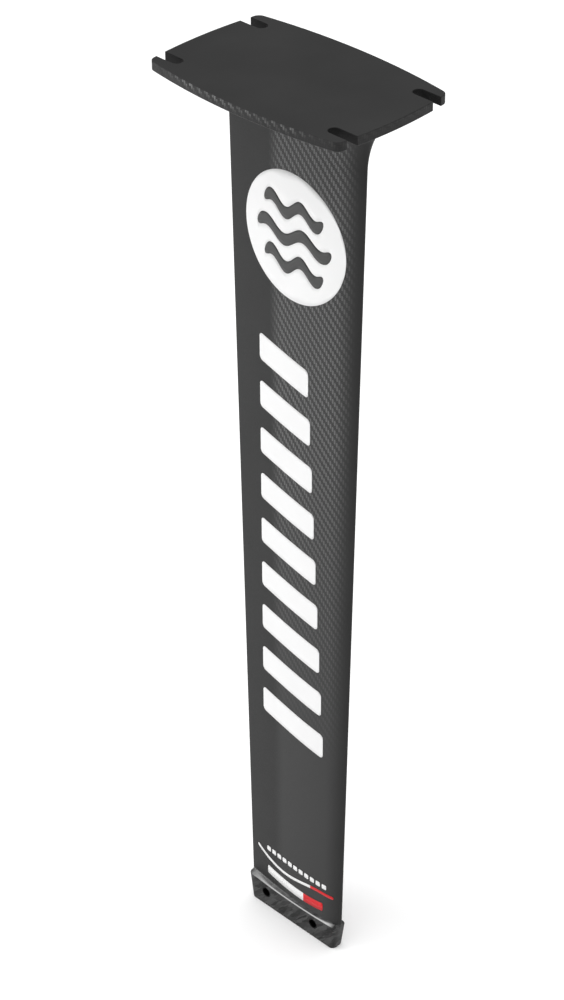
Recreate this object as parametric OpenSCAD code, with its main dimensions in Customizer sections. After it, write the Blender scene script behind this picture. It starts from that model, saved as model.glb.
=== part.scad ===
// Hydrofoil mast with a bolt-on top plate and a plug-in foot, in millimetres.
// Origin: centre of the plate's top face, where the board sits. The mast hangs down along -Z.
// +X points to the nose (leading edge), -X to the tail, +Y is port and -Y is starboard.

/* [Board slots] */
// Distance between the two rows of slots, side to side (the standard twin track spacing)
slot_rows = 90; // [86:0.5:110]
// Distance between the round inner ends of the front and rear slots, centre to centre
slot_reach = 167; // [139:1:202]
// Width of each slot, a clearance for an M8 bolt with room to slide
slot_w = 10; // [8.5:0.5:12]
// Length of each slot from the centre of its inner end to the end of the plate
slot_run = 20.5; // [14:0.5:26]

/* [Top plate] */
// Width of the plate outside each row of slots, at the middle of the plate
tab_w = 17; // [15:0.5:24]
// Thickness of the whole plate, skins included
plate_t = 8; // [6:0.5:12]
// Thickness of each of the plate's two skins
plate_skin_t = 1.2; // [0.8:0.1:2]
// How far each long side bows out between its corners
side_bow = 9.5; // [2:0.5:10]
// How far each end bows out between its corners
end_bow = 4; // [1:0.5:6]
// Radius of the plate's four corners
corner_r = 7; // [3:0.5:8]

/* [Mast] */
// Length of the mast from the plate's underside to the shoulder of the foot
mast_len = 809.5; // [500:0.5:1000]
// Chord (nose to tail) at the plate
root_chord = 150; // [120:1:180]
// Thickness at the plate
root_thick = 16; // [13:0.5:20]
// Chord at the foot
tip_chord = 112.5; // [94:0.5:135]
// Thickness at the foot
tip_thick = 12; // [10:0.2:15]
// Radius of the blunt trailing edge at the plate
edge_r = 0.8; // [0.5:0.1:1.2]

/* [Skins and spar, sizes at the plate] */
// Wall of each side skin
skin_t = 1.6; // [1.2:0.1:2.4]
// Solid edge where the two skins meet at the nose
nose_land = 4; // [3:0.5:6]
// Solid edge where the two skins meet at the tail
tail_land = 9; // [6:0.5:14]
// Distance from the nose to the front face of the spar
spar_set = 38; // [30:1:46]
// Length of the spar along the chord
spar_l = 46; // [34:1:56]
// Thickness of each spar cap
cap_t = 1.8; // [1.2:0.1:2.6]
// Thickness of each shear web
web_t = 2.6; // [1.6:0.2:4]
// Length of the fibre tow that fills the nose
nose_tow_l = 7; // [4:0.5:12]
// Length of the fibre tow that fills the tail
tail_tow_l = 14; // [8:0.5:20]

/* [Root joint] */
// Length of the root block's head, which sits inside the plate
head_l = 118; // [90:1:140]
// Width of the root block's head
head_w = 40; // [24:1:60]
// Corner radius of the root block's head
head_r = 8; // [3:0.5:12]
// How far the root block's stem reaches down inside the mast
stem_len = 80; // [40:1:140]
// Height of the flare that blends the mast into the plate
flare_h = 46; // [20:1:60]
// How far that flare spreads under the plate
flare_w = 24; // [8:1:28]
// Bond line left around the root block and the foot's neck
bond_gap = 0.2; // [0.1:0.05:0.5]

/* [Foot] */
// Height of the foot's straight part
foot_h = 26; // [20:0.5:40]
// Height of the shoulder between the mast and the straight part
shoulder_h = 3; // [2:0.5:8]
// How far the foot stands out past the mast's nose and tail
foot_end_lip = 0.25; // [0:0.05:3]
// How far the foot stands out past the thickest part of the mast
foot_side_lip = 1; // [0.3:0.05:2]
// How far each end of the foot leans in over its height
foot_lean = 4.25; // [0:0.25:8]
// Radius of the foot's upright corners
foot_corner_r = 5; // [2:0.25:6]
// How far the foot's neck reaches up inside the mast
neck_len = 60; // [30:1:120]

/* [Foot cross holes] */
// Distance between the two cross holes
hole_spacing = 60; // [40:1:70]
// How far the middle of the pair sits forward of the mast's middle
hole_shift = -3; // [-6:0.5:6]
// Height of the hole centres above the foot's bottom face
hole_up = 15.5; // [12:0.5:20]
// Bore of each sleeve, a clearance for an M8 bolt
sleeve_bore = 8.4; // [6.2:0.1:9]
// Wall of each sleeve
sleeve_wall = 1.05; // [0.8:0.05:1.5]
// Radial bond gap around each sleeve
sleeve_gap = 0.05; // [0.02:0.01:0.1]

/* [Transfers] */
// Thickness of the printed film
film_t = 0.3; // [0.2:0.05:0.5]
// Diameter of the round badge
badge_d = 112; // [80:1:116]
// Depth of the badge's centre below the plate's top face
badge_z = 134; // [110:1:150]
// Depth of the first slanted bar below the plate's top face
bars_z = 236; // [220:1:260]
// Number of slanted bars, fewer where a short mast has no room for them
bar_count = 9; // [4:1:9]
// Distance from one slanted bar to the next
bar_pitch = 45; // [40:1:46]
// Height of the upper pair of stripes above the foot's shoulder, where the stripes run level
trim_up = 29.5; // [24:0.5:40]
// Height of the lower pair of stripes above the foot's shoulder, before their dip
low_up = 15.5; // [12:0.5:16]

/* [Hidden] */
$fn = 48;
eps = 0.01;          // keeps a cut clear of the face that it starts from
over = 1;            // how far a cut runs past a face

plate_l = slot_reach + 2 * slot_run;
plate_w = slot_rows + slot_w + 2 * tab_w;
core_t = plate_t - 2 * plate_skin_t;
side_r = bow_radius(plate_l, side_bow);
end_r = bow_radius(plate_w - 2 * side_bow, end_bow);

foil_steps = 22;     // stations along each side of the section
flare_steps = 7;     // steps up the flare
flare_reach = min(flare_w, (plate_l - root_chord) / 2 - 2);
cavity_r = edge_r / 2;
cavity_chord = root_chord - nose_land - tail_land;
cavity_thick = root_thick - 2 * skin_t;
nose_x = root_chord / 2;
spar_front_x = nose_x - spar_set;
spar_rear_x = spar_front_x - spar_l;
nose_tow_x = nose_x - nose_land - nose_tow_l;
tail_tow_x = -nose_x + tail_land + tail_tow_l;

foot_l = tip_chord + 2 * foot_end_lip;
foot_t = tip_thick + 2 * foot_side_lip;
foot_top_z = -plate_t - mast_len - shoulder_h;
foot_bottom_z = foot_top_z - foot_h;
hole_z = foot_bottom_z + hole_up;
front_hole_x = hole_shift + hole_spacing / 2;
rear_hole_x = hole_shift - hole_spacing / 2;
sleeve_d = sleeve_bore + 2 * sleeve_wall;

badge_x = 3;         // the badge sits a little forward of the middle
wave_l = 84;         // length of the longest wave on the badge
wave_pitch = 24;     // from one wave to the next
wave_rise = 5;       // height of a crest above the wave's middle line
wave_h = 11;         // width of a wave's stroke
bar_h = 25;          // height of a slanted bar
bar_lean = 12;       // drop of a bar from its tail end to its nose end
bar_tail_x = -38;    // tail end of every bar
bar_nose_x = 20;     // nose end of the first bar
bar_grow = 2.2;      // each bar reaches this much further forward than the last
trim_h = 3;          // height of the thin stripes
low_h = 9;           // height of the lower stripes
low_tail_x = -34;    // tail end of the lower stripes
trim_tail_x = -48;   // tail end of the thin stripes
trim_joint_x = 23;   // where the thin stripes turn from white to red
low_joint_x = 14;    // where the lower stripes turn from white to red
trim_nose_x = 50;    // nose end of the thin stripes
low_nose_x = 38;     // nose end of the lower stripes
dash_h = 5;          // height of a dash
dash_l = 5;          // length of a dash
dash_pitch = 7.2;    // from one dash to the next
dash_count = 11;     // dashes in the row
dash_rise = 8;       // height of the dashes above the thin stripes' level
stripe_steps = 8;    // steps along each stripe
stripe_room = 9;     // how far a stripe's dip or climb may take it from its level
transfer_z = plate_t + mast_len;
bars = min(bar_count, floor((transfer_z - trim_up - 2 * dash_rise - bars_z) / bar_pitch));

// Radius of an arc that rises by `bow` over a chord of length `span`
function bow_radius(span, bow) = (span * span / 4 + bow * bow) / (2 * bow);

// Half thickness of a symmetric foil at the fraction u of its chord
function foil_half(u, thick) =
    5 * thick * (0.2969 * sqrt(u) - 0.126 * u - 0.3516 * u ^ 2 + 0.2843 * u ^ 3 - 0.1036 * u ^ 4);

// One side of the section from nose to tail: foil stations, then a quarter circle at the blunt tail
function side_line(chord, thick, r) = concat(
    [for (i = [0:foil_steps]) let (u = (1 - cos(180 * i / foil_steps)) / 2)
        [chord / 2 - u * (chord - r), foil_half(u, thick - 0.6 * r) + u * r]],
    [for (a = [22.5:22.5:90]) [r - chord / 2 - r * sin(a), r * cos(a)]]
);

// Size of the section at the depth s below the plate, as a share of the section at the plate
function chord_scale(s) = 1 + (tip_chord / root_chord - 1) * s / mast_len;
function thick_scale(s) = 1 + (tip_thick / root_thick - 1) * s / mast_len;

// Outward direction at point i of a side line
function outward(line, i) =
    i == 0 ? [1, 0] :
    i == len(line) - 1 ? [-1, 0] :
    let (t = line[i + 1] - line[i - 1]) [t.y, -t.x] / norm(t);

// Where two circles meet, at the crossing nearer to the origin
function circles_meet(c1, r1, c2, r2) =
    let (
        gap = c2 - c1,
        d = norm(gap),
        along = (d * d + r1 * r1 - r2 * r2) / (2 * d),
        across = sqrt(r1 * r1 - along * along),
        e = gap / d,
        p = c1 + along * e + across * [-e.y, e.x],
        q = c1 + along * e - across * [-e.y, e.x]
    )
    norm(p) < norm(q) ? p : q;

function heading(v) = atan2(v.y, v.x);

// A quarter of the plate's outline: half an end, a round corner and half a long side
function plate_quarter() =
    let (
        side_c = [0, plate_w / 2 - side_r],
        end_c = [plate_l / 2 - end_r, 0],
        corner_c = circles_meet(side_c, side_r - corner_r, end_c, end_r - corner_r),
        a_end = heading(corner_c - end_c),
        a_side = heading(corner_c - side_c)
    )
    concat(
        [for (i = [0:5]) end_c + end_r * [cos(a_end * i / 6), sin(a_end * i / 6)]],
        [for (i = [0:6]) let (a = a_end + (a_side - a_end) * i / 6)
            corner_c + corner_r * [cos(a), sin(a)]],
        [for (i = [1:9]) let (a = a_side + (90 - a_side) * i / 10)
            side_c + side_r * [cos(a), sin(a)]]
    );

// ---- Plate outlines ----

module plate_outline() {
    q = plate_quarter();
    n = len(q);
    polygon(concat(
        q,
        [[0, plate_w / 2]],
        [for (i = [n - 1:-1:1]) [-q[i].x, q[i].y]],
        [for (i = [0:n - 1]) [-q[i].x, -q[i].y]],
        [[0, -plate_w / 2]],
        [for (i = [n - 1:-1:1]) [q[i].x, -q[i].y]]
    ));
}

module board_slots() {
    for (x = [-1, 1], y = [-1, 1]) {
        translate([x * slot_reach / 2, y * slot_rows / 2]) {
            circle(d = slot_w);
            translate([x > 0 ? 0 : -slot_run - over, -slot_w / 2])
                square([slot_run + over, slot_w]);
        }
    }
}

module plate_layer(z_top, t) {
    translate([0, 0, z_top - t])
        linear_extrude(t)
            difference() {
                plate_outline();
                board_slots();
            }
}

module head_outline(gap) {
    l = head_l / 2 - head_r;
    w = head_w / 2 - head_r;
    square([2 * l, head_w + 2 * gap], center = true);
    square([head_l + 2 * gap, 2 * w], center = true);
    for (x = [-l, l], y = [-w, w])
        translate([x, y])
            circle(r = head_r + gap);
}

// ---- Section at the plate, drawn flat ----

module section(chord, thick, r) {
    line = side_line(chord, thick, r);
    polygon(concat(
        line,
        [for (i = [len(line) - 2:-1:1]) [line[i].x, -line[i].y]]
    ));
}

module outer_section() section(root_chord, root_thick, edge_r);

module cavity_section()
    translate([(tail_land - nose_land) / 2, 0])
        section(cavity_chord, cavity_thick, cavity_r);

module port_half()
    translate([-root_chord, 0])
        square([2 * root_chord, root_thick]);

module between(x_tail, x_nose)
    translate([x_tail, -root_thick])
        square([x_nose - x_tail, 2 * root_thick]);

module cavity_part(x_tail, x_nose)
    intersection() {
        cavity_section();
        between(x_tail, x_nose);
    }

module port_skin_section()
    difference() {
        intersection() {
            outer_section();
            port_half();
        }
        cavity_section();
    }

module port_cap_section()
    difference() {
        intersection() {
            cavity_part(spar_rear_x, spar_front_x);
            port_half();
        }
        translate([0, -cap_t])
            cavity_section();
    }

module bay_section(x_tail, x_nose)
    intersection() {
        translate([0, -cap_t])
            cavity_section();
        translate([0, cap_t])
            cavity_section();
        between(x_tail, x_nose);
    }

module centre_bay_section()
    bay_section(spar_rear_x + web_t, spar_front_x - web_t);

module stem_section()
    offset(delta = -bond_gap)
        centre_bay_section();

// Carries a section down the mast from depth s0 to depth s1 below the plate, with the mast's taper
module taper(s0, s1)
    translate([0, 0, -plate_t - s0])
        mirror([0, 0, 1])
            linear_extrude(
                height = s1 - s0,
                scale = [chord_scale(s1) / chord_scale(s0), thick_scale(s1) / thick_scale(s0)],
                slices = 1
            )
                scale([chord_scale(s0), thick_scale(s0)])
                    children();

module starboard_side() mirror([0, 1, 0]) children();

// ---- Plate ----

module plate_top_skin()
    color("#3c3c3e")
        plate_layer(0, plate_skin_t);

module plate_core()
    color("#2c2c2e")
        difference() {
            plate_layer(-plate_skin_t, core_t);
            translate([0, 0, -plate_t])
                linear_extrude(plate_t)
                    head_outline(bond_gap);
        }

module plate_bottom_skin()
    color("#38383a")
        difference() {
            plate_layer(plate_skin_t - plate_t, plate_skin_t);
            taper(-plate_skin_t - over, over)
                centre_bay_section();
        }

// ---- Root joint ----

module root_block()
    color("#6b5a44")
        union() {
            translate([0, 0, plate_skin_t - plate_t])
                linear_extrude(core_t)
                    head_outline(0);
            taper(-plate_skin_t - over, stem_len)
                stem_section();
        }

// Half of the flare: each ring is the side line pushed outwards by a quarter ellipse
module port_flare() {
    line = side_line(root_chord, root_thick, edge_r);
    n = len(line);
    profile = concat(
        [[0, 0]],
        [for (j = [0:flare_steps]) let (a = 90 * j / flare_steps)
            [flare_reach * (1 - sin(a)), flare_h * (1 - cos(a))]]
    );
    rings = len(profile);
    points = [for (p = profile, i = [0:n - 1]) let (out = outward(line, i) * p[0]) [
        line[i].x * chord_scale(p[1]) + out.x,
        line[i].y * thick_scale(p[1]) + out.y,
        -plate_t - p[1]
    ]];
    walls = [for (r = [0:rings - 1], i = [0:n - 2]) let (
        a = r * n + i,
        d = ((r + 1) % rings) * n + i
    ) each [[a, a + 1, d + 1], [a, d + 1, d]]];
    nose_end = [for (r = [0:rings - 1]) r * n];
    tail_end = [for (r = [rings:-1:1]) (r % rings) * n + n - 1];
    polyhedron(points, concat(walls, [nose_end, tail_end]));
}

module port_root_flare()
    color("#333335")
        port_flare();

module starboard_root_flare()
    color("#333335")
        starboard_side()
            port_flare();

// ---- Mast ----

module port_skin()
    color("#434345")
        taper(0, mast_len)
            port_skin_section();

module starboard_skin()
    color("#434345")
        starboard_side()
            taper(0, mast_len)
                port_skin_section();

module port_spar_cap()
    color("#1e1e20")
        taper(0, mast_len)
            port_cap_section();

module starboard_spar_cap()
    color("#1e1e20")
        starboard_side()
            taper(0, mast_len)
                port_cap_section();

module front_shear_web()
    color("#5a5a5e")
        taper(0, mast_len)
            bay_section(spar_front_x - web_t, spar_front_x);

module rear_shear_web()
    color("#5a5a5e")
        taper(0, mast_len)
            bay_section(spar_rear_x, spar_rear_x + web_t);

module nose_tow()
    color("#26262a")
        taper(0, mast_len)
            cavity_part(nose_tow_x, nose_x);

module nose_core()
    color("#d8c9a0")
        taper(0, mast_len)
            cavity_part(spar_front_x, nose_tow_x);

module centre_core()
    color("#d8c9a0")
        taper(stem_len, mast_len - neck_len)
            centre_bay_section();

module tail_core()
    color("#d8c9a0")
        taper(0, mast_len)
            cavity_part(tail_tow_x, spar_rear_x);

module tail_tow()
    color("#26262a")
        taper(0, mast_len)
            cavity_part(-nose_x, tail_tow_x);

// ---- Foot ----

module foot_outline()
    offset(r = foot_corner_r)
        square([foot_l - 2 * foot_corner_r, foot_t - 2 * foot_corner_r], center = true);

module foot_shoulder()
    hull() {
        taper(mast_len, mast_len + eps)
            outer_section();
        translate([0, 0, foot_top_z])
            linear_extrude(eps)
                foot_outline();
    }

module foot_prism()
    translate([0, 0, foot_top_z])
        mirror([0, 0, 1])
            linear_extrude(height = foot_h, scale = [1 - 2 * foot_lean / foot_l, 1], slices = 1)
                foot_outline();

module cross_rod(x, d)
    translate([x, 0, hole_z])
        rotate([90, 0, 0])
            cylinder(d = d, h = foot_t + 2 * over, center = true);

module foot_block()
    color("#2f2f31")
        difference() {
            union() {
                foot_shoulder();
                foot_prism();
                taper(mast_len - neck_len, mast_len + over)
                    stem_section();
            }
            cross_rod(front_hole_x, sleeve_d);
            cross_rod(rear_hole_x, sleeve_d);
        }

module sleeve(x)
    translate([x, 0, hole_z])
        rotate([90, 0, 0])
            difference() {
                cylinder(d = sleeve_d - 2 * sleeve_gap, h = foot_t, center = true);
                cylinder(d = sleeve_bore, h = foot_t + 2 * over, center = true);
            }

module front_sleeve()
    color("#101012")
        sleeve(front_hole_x);

module rear_sleeve()
    color("#101012")
        sleeve(rear_hole_x);

// ---- Transfers: printed film on the port skin, mirrored for starboard ----

module film_section()
    intersection() {
        difference() {
            translate([0, film_t])
                outer_section();
            outer_section();
        }
        port_half();
    }

// Cuts artwork, drawn flat in X and Z, out of the film between two depths below the plate's top face
module transfer(top, bottom)
    intersection() {
        taper(top - plate_t, bottom - plate_t)
            film_section();
        rotate([90, 0, 0])
            translate([0, 0, -root_thick])
                linear_extrude(root_thick)
                    children();
    }

// A wave of the given length: a sine line with a constant upright width
module wave(l) {
    steps = 12;
    polygon(concat(
        [for (i = [0:steps]) [l * (i / steps - 0.5), wave_rise * sin(720 * i / steps) + wave_h / 2]],
        [for (i = [steps:-1:0]) [l * (i / steps - 0.5), wave_rise * sin(720 * i / steps) - wave_h / 2]]
    ));
}

module badge_waves_art()
    for (k = [-1, 0, 1])
        translate([badge_x, -badge_z + k * wave_pitch])
            wave(k == 0 ? wave_l : wave_l * 0.8);

module badge_disc_art()
    difference() {
        translate([badge_x, -badge_z])
            circle(d = badge_d);
        badge_waves_art();
    }

module slant_bars_art()
    for (i = [0:bars - 1]) {
        z = -bars_z - i * bar_pitch;
        x = bar_nose_x + i * bar_grow;
        polygon([[bar_tail_x, z], [x, z - bar_lean], [x, z - bar_lean - bar_h], [bar_tail_x, z - bar_h]]);
    }

// Dip of the thin stripes: a bowl towards the tail, and a smooth climb back to level towards the nose
function trim_dip(x) =
    let (t = min(max((x + 10) / 45, 0), 1))
    x < -10 ? 11.5 * ((x + 10) / 38) ^ 2 - 7 : 6.5 * t * t * (3 - 2 * t) - 7;

// Dip of the lower stripes: a shallow bowl
function low_dip(x) = 2.7 * ((x - 3) / 36) ^ 2 - 5.6;

// A stripe along the middle line z + dip, with a constant upright height
module stripe_art(x_tail, x_nose, z, h, dips) {
    steps = len(dips) - 1;
    polygon(concat(
        [for (i = [0:steps]) [x_tail + (x_nose - x_tail) * i / steps, z + dips[i] + h / 2]],
        [for (i = [steps:-1:0]) [x_tail + (x_nose - x_tail) * i / steps, z + dips[i] - h / 2]]
    ));
}

module trim_art(x_tail, x_nose)
    stripe_art(
        x_tail, x_nose, -transfer_z + trim_up, trim_h,
        [for (i = [0:stripe_steps]) trim_dip(x_tail + (x_nose - x_tail) * i / stripe_steps)]
    );

module low_art(x_tail, x_nose)
    stripe_art(
        x_tail, x_nose, -transfer_z + low_up, low_h,
        [for (i = [0:stripe_steps]) low_dip(x_tail + (x_nose - x_tail) * i / stripe_steps)]
    );

module dash_row_art()
    for (i = [0:dash_count - 1])
        translate([low_tail_x - 1 + i * dash_pitch, -transfer_z + trim_up + dash_rise - dash_h / 2])
            square([dash_l, dash_h]);

module port_badge_disc()
    color("#f4f4f4")
        transfer(badge_z - badge_d / 2 - over, badge_z + badge_d / 2 + over)
            badge_disc_art();

module port_badge_waves()
    color("#303032")
        transfer(badge_z - badge_d / 2 - over, badge_z + badge_d / 2 + over)
            badge_waves_art();

module port_slant_bars()
    color("#f4f4f4")
        transfer(bars_z - over, bars_z + bars * bar_pitch)
            slant_bars_art();

module port_dash_row()
    color("#f4f4f4")
        transfer(transfer_z - trim_up - 2 * dash_rise, transfer_z - trim_up)
            dash_row_art();

module port_trim_white()
    color("#f4f4f4")
        transfer(transfer_z - trim_up - stripe_room, transfer_z - trim_up + stripe_room)
            trim_art(trim_tail_x, trim_joint_x);

module port_trim_red()
    color("#c8323a")
        transfer(transfer_z - trim_up - stripe_room, transfer_z - trim_up + stripe_room)
            trim_art(trim_joint_x, trim_nose_x);

module port_low_white()
    color("#f4f4f4")
        transfer(transfer_z - low_up - low_h, transfer_z - eps)
            low_art(low_tail_x, low_joint_x);

module port_low_red()
    color("#ee3236")
        transfer(transfer_z - low_up - low_h, transfer_z - eps)
            low_art(low_joint_x, low_nose_x);

module starboard_badge_disc() starboard_side() port_badge_disc();
module starboard_badge_waves() starboard_side() port_badge_waves();
module starboard_slant_bars() starboard_side() port_slant_bars();
module starboard_dash_row() starboard_side() port_dash_row();
module starboard_trim_white() starboard_side() port_trim_white();
module starboard_trim_red() starboard_side() port_trim_red();
module starboard_low_white() starboard_side() port_low_white();
module starboard_low_red() starboard_side() port_low_red();

plate_top_skin();
plate_core();
plate_bottom_skin();
root_block();
starboard_root_flare();
port_root_flare();
starboard_skin();
port_skin();
starboard_spar_cap();
port_spar_cap();
front_shear_web();
rear_shear_web();
nose_tow();
nose_core();
centre_core();
tail_core();
tail_tow();
foot_block();
front_sleeve();
rear_sleeve();
starboard_badge_disc();
starboard_badge_waves();
starboard_slant_bars();
starboard_dash_row();
starboard_trim_white();
starboard_trim_red();
starboard_low_white();
starboard_low_red();
port_badge_disc();
port_badge_waves();
port_slant_bars();
port_dash_row();
port_trim_white();
port_trim_red();
port_low_white();
port_low_red();
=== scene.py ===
import bmesh
import bpy
import numpy as np
from mathutils import Matrix, Vector


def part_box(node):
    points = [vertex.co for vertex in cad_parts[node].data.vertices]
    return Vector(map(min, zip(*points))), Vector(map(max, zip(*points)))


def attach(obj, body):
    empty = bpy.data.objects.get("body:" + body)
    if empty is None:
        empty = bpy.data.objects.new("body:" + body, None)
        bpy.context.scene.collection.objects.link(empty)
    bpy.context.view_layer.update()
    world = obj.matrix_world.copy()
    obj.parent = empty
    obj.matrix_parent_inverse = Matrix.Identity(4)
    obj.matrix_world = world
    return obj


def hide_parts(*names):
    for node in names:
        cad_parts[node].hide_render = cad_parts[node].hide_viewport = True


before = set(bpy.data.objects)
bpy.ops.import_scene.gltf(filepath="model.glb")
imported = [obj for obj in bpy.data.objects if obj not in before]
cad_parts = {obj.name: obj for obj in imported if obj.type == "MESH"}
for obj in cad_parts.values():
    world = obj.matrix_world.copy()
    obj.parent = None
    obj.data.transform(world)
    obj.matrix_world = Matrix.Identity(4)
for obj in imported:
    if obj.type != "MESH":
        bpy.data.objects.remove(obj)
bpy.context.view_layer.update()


# ---- Camera ----
# A product shot from in front and above: the nose points to the right and towards the viewer,
# and the starboard side is the one that shows.
azimuth, elevation, roll = np.radians((45.30, 33.98, -0.224))
place = Matrix.Rotation(azimuth, 4, "Z")
place @= Matrix.Rotation(np.pi / 2 - elevation, 4, "X") @ Matrix.Rotation(roll, 4, "Z")
place.translation = (1.35945, -1.36260, 0.91392)
lens = bpy.data.cameras.new("camera")
lens.lens = 101.18
camera = bpy.data.objects.new("camera", lens)
camera.matrix_world = place
bpy.context.scene.collection.objects.link(camera)
bpy.context.scene.camera = camera
bpy.context.scene.view_settings.view_transform = "Standard"


# ---- Top plate ----
# A moulded carbon laminate in three layers, 8 mm thick: a skin, a core and a skin, cured in one tool.
# Its long sides and ends bow out, and four slots for board bolts are milled in from the ends.
MM = 0.001
slot_x, slot_y, slot_r = 83.5 * MM, 45 * MM, 5 * MM
side_bow, end_bow, corner_r = 9.5 * MM, 4 * MM, 7 * MM
edge_round = 0.7 * MM
tow = 2.2 * MM


def arc(centre, radius, start, stop, steps):
    """Points on a circle: centre + radius (cos a, sin a), with a going evenly from start to stop."""
    a = np.linspace(start, stop, steps)
    return np.stack([centre[0] + radius * np.cos(a), centre[1] + radius * np.sin(a)], -1)


def bow_radius(span, bow):
    """Radius of an arc that rises by bow over a chord of length span."""
    return (span ** 2 / 4 + bow ** 2) / (2 * bow)


def plate_outline(length, width):
    """The plate from above: one quarter is half an end, a slot, a round corner and half a long side, and
    the quarter is mirrored twice. Each bowed edge is an arc, and the corner is an arc tangent to both."""
    side_r = bow_radius(length, side_bow)
    end_r = bow_radius(width - 2 * side_bow, end_bow)
    side_c = np.array([0, width / 2 - side_r])
    end_c = np.array([length / 2 - end_r, 0])
    gap = end_c - side_c
    d = np.hypot(*gap)
    r1, r2 = side_r - corner_r, end_r - corner_r
    along = (d ** 2 + r1 ** 2 - r2 ** 2) / (2 * d)
    across = np.sqrt(r1 ** 2 - along ** 2)
    meets = [side_c + along * gap / d + k * across * np.array([-gap[1], gap[0]]) / d for k in (-1, 1)]
    corner_c = min(meets, key=lambda p: np.hypot(*p))
    a_end = np.arctan2(*(corner_c - end_c)[::-1])
    a_side = np.arctan2(*(corner_c - side_c)[::-1])
    low = np.arcsin((slot_y - slot_r) / end_r)
    tab = np.concatenate([arc(end_c, end_r, low, a_end, 40), arc(corner_c, corner_r, a_end, a_side, 25)[1:]])
    tab = tab[tab[:, 1] > slot_y + slot_r + 2 * edge_round]
    mouth = [[tab[0, 0], slot_y + slot_r]]
    quarter = np.concatenate([
        arc(end_c, end_r, 0, low, 12),
        arc((slot_x, slot_y), slot_r, -np.pi / 2, -3 * np.pi / 2, 33),
        mouth,
        tab,
        arc(side_c, side_r, a_side, np.pi / 2, 30)[1:],
    ])
    half = np.concatenate([quarter, quarter[-2:0:-1] * (-1, 1)])
    return np.concatenate([half, half * (-1, -1)])


def shrink(outline, by):
    """Moves a closed outline inwards: each point goes along its two edges' middle normal by
    by / cos(half the turn)."""
    ahead = np.roll(outline, -1, 0) - outline
    ahead /= np.linalg.norm(ahead, axis=1, keepdims=True)
    behind = np.roll(ahead, 1, 0)
    normal = np.stack([ahead[:, 1] + behind[:, 1], -ahead[:, 0] - behind[:, 0]], -1)
    normal /= np.linalg.norm(normal, axis=1, keepdims=True)
    cosine = (normal * np.stack([ahead[:, 1], -ahead[:, 0]], -1)).sum(1, keepdims=True)
    return outline - by * normal / np.maximum(cosine, 0.5)


def grid_faces(rows, columns, close_rows=False):
    """Quads between the neighbours of a grid of points numbered row by row; the last row may meet
    the first."""
    r = np.arange(rows if close_rows else rows - 1)[:, None]
    c = np.arange(columns - 1)[None, :]
    a = r * columns + c
    b = (r + 1) % rows * columns + c
    return np.stack([a, a + 1, b + 1, b], -1).reshape(-1, 4).tolist()


def smooth(mesh, sharp):
    """Shades a mesh smooth between faces that meet at less than the angle sharp; its flat caps stay flat."""
    sides = np.empty(len(mesh.polygons), np.int32)
    mesh.polygons.foreach_get("loop_total", sides)
    mesh.set_sharp_from_angle(angle=np.radians(sharp))
    mesh.polygons.foreach_set("use_smooth", sides < 12)


def make_piece(name, points, faces, material, replaces, uv=None, outward=None, sharp=32):
    """A mesh object from points (any shape, 3 last) and faces, its doubles merged and its normals outwards.
    A closed mesh is turned by its own volume; an open sheet so that its faces look along outward."""
    mesh = bpy.data.meshes.new(name)
    mesh.from_pydata(np.reshape(points, (-1, 3)).tolist(), [], faces)
    if uv is not None:
        corners = np.empty(len(mesh.loops), np.int32)
        mesh.loops.foreach_get("vertex_index", corners)
        mesh.uv_layers.new(name="cloth").data.foreach_set("uv", np.reshape(uv, (-1, 2))[corners].ravel())
    work = bmesh.new()
    work.from_mesh(mesh)
    bmesh.ops.remove_doubles(work, verts=work.verts, dist=1e-6)
    bmesh.ops.dissolve_degenerate(work, edges=work.edges, dist=1e-7)
    bmesh.ops.recalc_face_normals(work, faces=work.faces)
    if outward is not None and sum(f.normal.dot(outward) * f.calc_area() for f in work.faces) < 0:
        bmesh.ops.reverse_faces(work, faces=work.faces)
    work.to_mesh(mesh)
    work.free()
    smooth(mesh, sharp)
    mesh.materials.append(material)
    piece = bpy.data.objects.new(name, mesh)
    bpy.context.scene.collection.objects.link(piece)
    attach(piece, "root")
    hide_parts(*replaces)
    return piece


def carry(outline, depths, insets, z_top):
    """Carries a closed outline down from z_top: ring k lies at depths[k] and is shrunk by insets[k].
    The first and last rings are closed with a flat face. The cloth's own measure runs round and down."""
    loop = np.concatenate([outline, outline[:1]])
    lengths = np.concatenate([[0], np.cumsum(np.linalg.norm(np.diff(loop, axis=0), axis=1))])
    rings = np.stack([shrink(outline, inset) for inset in insets])
    rings = np.concatenate([rings, rings[:, :1]], 1)
    z = np.broadcast_to((z_top - np.asarray(depths))[:, None], rings.shape[:2])
    points = np.concatenate([rings, z[..., None]], -1)
    uv = np.stack([np.broadcast_to(lengths, z.shape), z], -1)
    rows, columns = z.shape
    faces = grid_faces(rows, columns)
    faces.append(list(range(columns - 1)))
    faces.append([(rows - 1) * columns + k for k in range(columns - 1)])
    return points, faces, uv


def cut(piece, points, faces):
    """Cuts a closed solid out of a piece, exactly, and keeps only the result."""
    mesh = bpy.data.meshes.new("cutter")
    mesh.from_pydata(np.reshape(points, (-1, 3)).tolist(), [], faces)
    work = bmesh.new()
    work.from_mesh(mesh)
    bmesh.ops.remove_doubles(work, verts=work.verts, dist=1e-6)
    bmesh.ops.recalc_face_normals(work, faces=work.faces)
    work.to_mesh(mesh)
    work.free()
    cutter = bpy.data.objects.new("cutter", mesh)
    bpy.context.scene.collection.objects.link(cutter)
    step = piece.modifiers.new("cut", "BOOLEAN")
    step.object = cutter
    step.operation = "DIFFERENCE"
    step.solver = "EXACT"
    graph = bpy.context.evaluated_depsgraph_get()
    result = bpy.data.meshes.new_from_object(piece.evaluated_get(graph))
    piece.modifiers.clear()
    result.name = piece.name
    piece.data = result
    bpy.data.objects.remove(cutter)


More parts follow.
